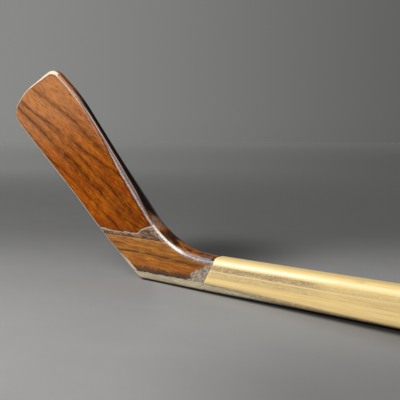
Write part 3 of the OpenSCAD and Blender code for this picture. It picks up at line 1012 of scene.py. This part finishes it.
def cheek_material():
    """Golden-brown varnished board with its grain along the shaft, a dark check, and frayed edges."""
    g = Graph("varnished_cheek", math.radians(-3))
    streak = g.grain(18, 250, 7.0, detail=4, distortion=0.4)
    fibre = g.grain(60, 560, 2.0, detail=4, roughness=0.65)
    fine = g.grain(90, 1300)
    pores = g.grain(170, 1900, 3.0, detail=2)
    waver = g.grain(22, 60)
    mottle = g.grain(420, 620, detail=4, roughness=0.75, angle=0)
    x, z = g.dot(X), g.dot(Z)
    base = g.mix((0.44, 0.165, 0.018), (0.31, 0.098, 0.009), g.between(streak, 0.4, 0.64))
    check_place = g.shaken(z, waver, 0.003)
    centre = g.between(x, 0.0, 0.075, 0.0262, 0.0222)
    right = g.mix(base, (0.27, 0.088, 0.01), g.between(x, 0.015, 0.05, 0, 0.7))
    lower = g.mix(right, (0.44, 0.122, 0.007), g.times(g.between(z, 0.026, 0.02), 0.55))
    checked = g.mix(lower, (0.035, 0.01, 0.002), dark_line(g, check_place, centre, 0.0009, 0.0024))
    fibred = g.mix(checked, (0.11, 0.03, 0.004), g.between(fibre, 0.5, 0.68, 0, 0.5))
    lit = g.mix(fibred, (0.72, 0.34, 0.06), g.between(fibre, 0.46, 0.34, 0, 0.34))
    grained = g.mix(lit, (0.07, 0.02, 0.005), g.between(fine, 0.48, 0.72, 0, 0.5))
    pored = g.mix(grained, (0.03, 0.01, 0.004), g.between(pores, 0.62, 0.71, 0, 0.6))
    reach = g.plus(g.measured("rim"), g.times(mottle, 4.0))
    pale_fringe = g.times(g.between(mottle, 0.56, 0.66), g.between(z, 0.036, 0.031, 0.15, 1))
    fringe = g.mix((0.055, 0.033, 0.022), (0.3, 0.21, 0.14), pale_fringe)
    soot_place = g.shaken(z, mottle, 0.012)
    sooty = g.mix(pored, (0.045, 0.026, 0.016), g.between(soot_place, 0.015, 0.0108, 0, 0.82))
    frayed = g.mix(fringe, sooty, g.most(g.between(reach, 2.6, 5.0), g.between(z, 0.0125, 0.0165)))
    upper = g.times(g.between(mottle, 0.47, 0.6), g.between(z, 0.0335, 0.038))
    dusty = g.mix(frayed, (0.46, 0.3, 0.16), g.times(upper, 0.3))
    beside_patch = g.times(g.between(x, 0.055, 0.0575), g.between(z, 0.0285, 0.027))
    fuzzy = g.mix(dusty, patch_fibres(g)[0], g.times(g.between(reach, 4.0, 3.0), beside_patch))
    g.bump(g.plus(fine, fibre), 0.00012, 0.5)
    g.shader.inputs["Specular IOR Level"].default_value = 0.28
    return g.finish(worn_and_highlighted_arris(g, fuzzy), 0.42, 0.14, 0.2)


def patch_material():
    g = Graph("fibre_patch")
    fibres, fibre = patch_fibres(g)
    g.bump(fibre, 0.0003, 0.8)
    return g.finish(fibres, 0.6, 0.1, 0.3)


def shaft_material():
    """Pale ash: fine straight grain, two bands of grey handling marks near the heel, and painted shade low
    down, on the lower arris and along the edge it stands on.
    """
    g = Graph("pale_ash")
    x, z = g.dot(X), g.dot(Z)
    waver = g.grain(6, 90)
    fine = g.grain(40, 1500)
    fibre = g.grain(11, 420, detail=4)
    band = g.grain(3, 130, 9.0)
    speck = g.grain(400, 1300, detail=4, roughness=0.8)
    patchy = g.grain(45, 260, 3.0)
    height = g.shaken(z, waver, 0.0022)
    base = g.mix((0.96, 0.715, 0.3), (0.88, 0.63, 0.255), g.between(fibre, 0.38, 0.66))
    banded = g.mix(base, (0.7, 0.48, 0.21), g.between(band, 0.5, 0.7, 0, 0.25))
    above_seam = g.minus(height, SEAM_Z * MM)
    upper = g.times(g.between(above_seam, 0.0003, 0.0011), g.between(above_seam, 0.0068, 0.005))
    lower = g.times(g.between(above_seam, -0.0066, -0.0052), g.between(above_seam, 0.0, -0.001))
    ends = g.times(g.between(x, 0.07, 0.095, 0.35, 1), g.between(x, 0.178, 0.208, 1, 0.3))
    length = g.times(ends, g.between(x, 0.25, 0.7, 1, 0.4))
    zone = g.times(g.most(upper, g.times(lower, 0.5)), length)
    marks = g.times(g.between(speck, 0.36, 0.6, 0.3, 0.95), g.between(patchy, 0.3, 0.5, 0.75, 1))
    streaked = g.mix(banded, (0.205, 0.145, 0.11), g.times(g.times(zone, marks), 0.9))
    # painted shade: a darker band, broken up by specks, on the downward-facing lower arris
    low_shade_place = g.minus(height, g.between(x, 0.09, 0.3, 0.01, 0.0043))
    low_shade = g.times(g.between(low_shade_place, 0.0, -0.0028), g.between(speck, 0.36, 0.58, 0.45, 0.9))
    low_shaded = g.mix(streaked, (0.22, 0.165, 0.11), low_shade)
    seam = g.between(g.apart(z, SEAM_Z * MM), 0.0002, 0.0007, 1, 0)
    seamed = g.mix(low_shaded, (0.86, 0.68, 0.42), g.times(seam, g.between(x, 0.2, 0.35, 0.6, 0.15)))
    grained = g.mix(seamed, (0.36, 0.21, 0.09), g.between(fine, 0.5, 0.75, 0, 0.3))
    g.bump(g.plus(fine, g.times(fibre, 0.5)), 0.0001, 0.5)
    return g.finish(contact_shaded(g, grained), 0.42, 0.34, 0.17)


def dowel_material():
    g = Graph("dowel_birch", math.radians(90))
    colour, fine = pale_wood(g, (0.62, 0.43, 0.24), (0.45, 0.29, 0.15), (0.35, 0.27, 0.2))
    g.bump(fine, 0.00015, 0.6)
    return g.finish(colour, g.between(fine, 0.3, 0.7, 0.5, 0.68), 0.15, 0.25)


# ---------------------------------------------------------------- setting

CAMERA_PLACE, CAMERA_TARGET = (0.4316, -0.4382, 0.1403), (0.0732, -0.011, 0.0835)
CAMERA_LENS = 56.16
AWAY, LEFT = (-0.643, 0.766, 0), (-0.766, -0.643, 0)    # level directions, as the camera looks
# centre of the painted shadow behind the neck
NECK_SHADOW_AT = (-0.043, 0.153, 0)
BLACK = (0.0, 0.0, 0.0)


def make_camera():
    camera = bpy.data.objects.new("camera", bpy.data.cameras.new("camera"))
    camera.data.lens = CAMERA_LENS
    camera.data.clip_start, camera.data.clip_end = 0.01, 100
    camera.location = CAMERA_PLACE
    aim = Vector(CAMERA_TARGET) - camera.location
    camera.rotation_euler = aim.to_track_quat("-Z", "Y").to_euler()
    bpy.context.scene.collection.objects.link(camera)
    bpy.context.scene.camera = camera


def far(g, place):
    """Distance from a place, in metres."""
    made = g.node("ShaderNodeVectorMath", operation="DISTANCE")
    g.put(g.position, made.inputs[0])
    g.put(place, made.inputs[1])
    return made.outputs["Value"]


def floor_material():
    """Grey paper with painted light and shade, laid out along the camera's first direction: lighter to the
    left, painted shade in a band behind the stick, a painted shadow behind the neck, and a painted contact
    shadow close beside the shaft."""
    g = Graph("grey_paper")
    x, y, away, left = g.dot(X), g.dot(Y), g.dot(AWAY), g.dot(LEFT)
    reach = far(g, (0, 0, 0))
    leftward = g.maths("DIVIDE", left, reach)
    side = g.between(leftward, -0.6, 0.5)
    right = g.between(leftward, 0.1, -0.35)
    tone = g.plus(g.times(g.grain(900, 900), 0.4),
                  g.times(g.grain(9, 30, detail=4, roughness=0.6, angle=0.7), 0.6))
    near = g.mix((0.278, 0.275, 0.269), (0.334, 0.331, 0.324), tone)
    # painted light and shade: with distance the paper turns lighter to the left and darker to the right, then
    # takes the horizon's tone
    distant = g.mix((0.16, 0.16, 0.157), (0.48, 0.48, 0.47), side)
    horizon = g.mix((0.213, 0.213, 0.209), (0.6, 0.6, 0.589), side)
    paper = g.mix(near, distant, g.between(reach, 0.35, 2.6))
    horizon_toned = g.mix(paper, horizon, g.between(away, 1.0, 11))
    # painted shade: a darker band behind the stick, and darker paper to the front right
    dip_start, dip_full = g.between(right, 0, 1, -0.27, -0.12), g.between(right, 0, 1, 0.373, 0.32)
    dip = g.times(g.between(away, dip_start, dip_full), g.between(away, 2.3, 0.1))
    band_shaded = g.times(dip, g.between(right, 0, 1, 0.57, 0.61))
    right_front_shade = g.times(g.between(left, 0.02, -0.12), g.between(away, -0.14, -0.3))
    shaded = g.mix(horizon_toned, BLACK, g.most(band_shaded, g.times(right_front_shade, 0.36)))
    # painted shadow behind the neck
    neck_shadowed = g.mix(shaded, BLACK, g.between(far(g, NECK_SHADOW_AT), 0.15, 0.0, 0, 0.46))
    # painted contact shadow: black close beside the shaft, fading outwards, and none past the heel or the
    # butt
    beside = g.minus(g.maths("ABSOLUTE", y), g.between(x, 0.05, 0.2, 0.0095, 0.0055))
    core = g.between(beside, g.between(x, 0, 0.3, 0, 0.007), g.between(x, 0, 0.3, 0.003, 0.019), 0.03, 1)
    halo = g.between(beside, 0, g.between(x, 0, 0.3, 0.006, 0.055), g.between(x, 0, 0.3, 0.9, 0.55), 1)
    beyond = g.most(g.between(x, 0.0, -0.006), g.between(x, BUTT_X * MM - 0.02, BUTT_X * MM + 0.01))
    clear = g.most(g.times(core, halo), beyond)
    return g.finish(g.mix(BLACK, neck_shadowed, clear), 0.9)


def make_floor(material):
    bm = bmesh.new()
    bmesh.ops.create_grid(bm, x_segments=8, y_segments=8, size=14)
    mesh = bpy.data.meshes.new("floor")
    bm.to_mesh(mesh)
    bm.free()
    mesh.materials.append(material)
    floor = bpy.data.objects.new("floor", mesh)
    floor.location = (0, 0, -0.0002)
    bpy.context.scene.collection.objects.link(floor)


def add_light(data, place, turn):
    light = bpy.data.objects.new(data.name, data)
    light.location = place
    light.rotation_euler = turn.to_euler()
    bpy.context.scene.collection.objects.link(light)
    return light


def add_softbox(name, place, target, size, watts, glossy=True):
    """A rectangular light, which shiny surfaces mirror only if glossy is true."""
    data = bpy.data.lights.new(name, "AREA")
    data.shape, data.size, data.size_y = "RECTANGLE", size[0], size[1]
    data.energy = watts
    turn = (Vector(target) - Vector(place)).to_track_quat("-Z", "Y")
    add_light(data, place, turn).visible_glossy = glossy


def add_sun(direction, strength, angle):
    """A soft light from a direction, as wide as an angle in degrees."""
    data = bpy.data.lights.new("broad_light", "SUN")
    data.energy, data.angle = strength, math.radians(angle)
    add_light(data, (0, 0, 0), Vector(direction).to_track_quat("Z", "Y"))


def make_world():
    """A dim grey surround: brighter to the left of the stick's front, darker overhead and at the horizon."""
    g = Graph("studio", world=True)
    bpy.context.scene.world = g.owner
    overhead = g.between(g.dot(Z), 0.2, 0.6, 1, 0.3)
    horizon = g.between(g.dot(Z), -0.01, 0.04, 0.97, 1)
    sideways = g.between(g.dot((-0.77, -0.64, 0)), -0.6, 0.5, 0.09, 0.27)
    g.put(g.times(overhead, g.times(horizon, sideways)), g.shader.inputs["Strength"])
    g.put((1.0, 0.995, 0.975), g.shader.inputs["Color"])


bpy.context.scene.view_settings.view_transform = "Standard"
make_camera()
make_floor(floor_material())
make_world()
add_sun((-0.55, -0.42, 0.85), 1.2, 38)
add_sun((0.35, 0.85, 0.25), 0.45, 50)
add_softbox("key", (-0.5, -0.68, 0.72), (0.04, -0.02, 0.06), (0.34, 0.34), 10)
add_softbox("fill", (0.6, -0.6, 0.3), (0.3, 0, 0.02), (0.4, 0.3), 1.2, glossy=False)

ash = shaft_material()
make_shaft_core(ash)
make_boards(ash)
make_sole(sole_material())
make_cheeks(cheek_material())
make_wedges(filler_material())
make_patches(patch_material())
make_blade_core(border_material())
make_veneers(veneer_material())
make_edge_strip(edge_strip_material())
dress_dowels(dowel_material())
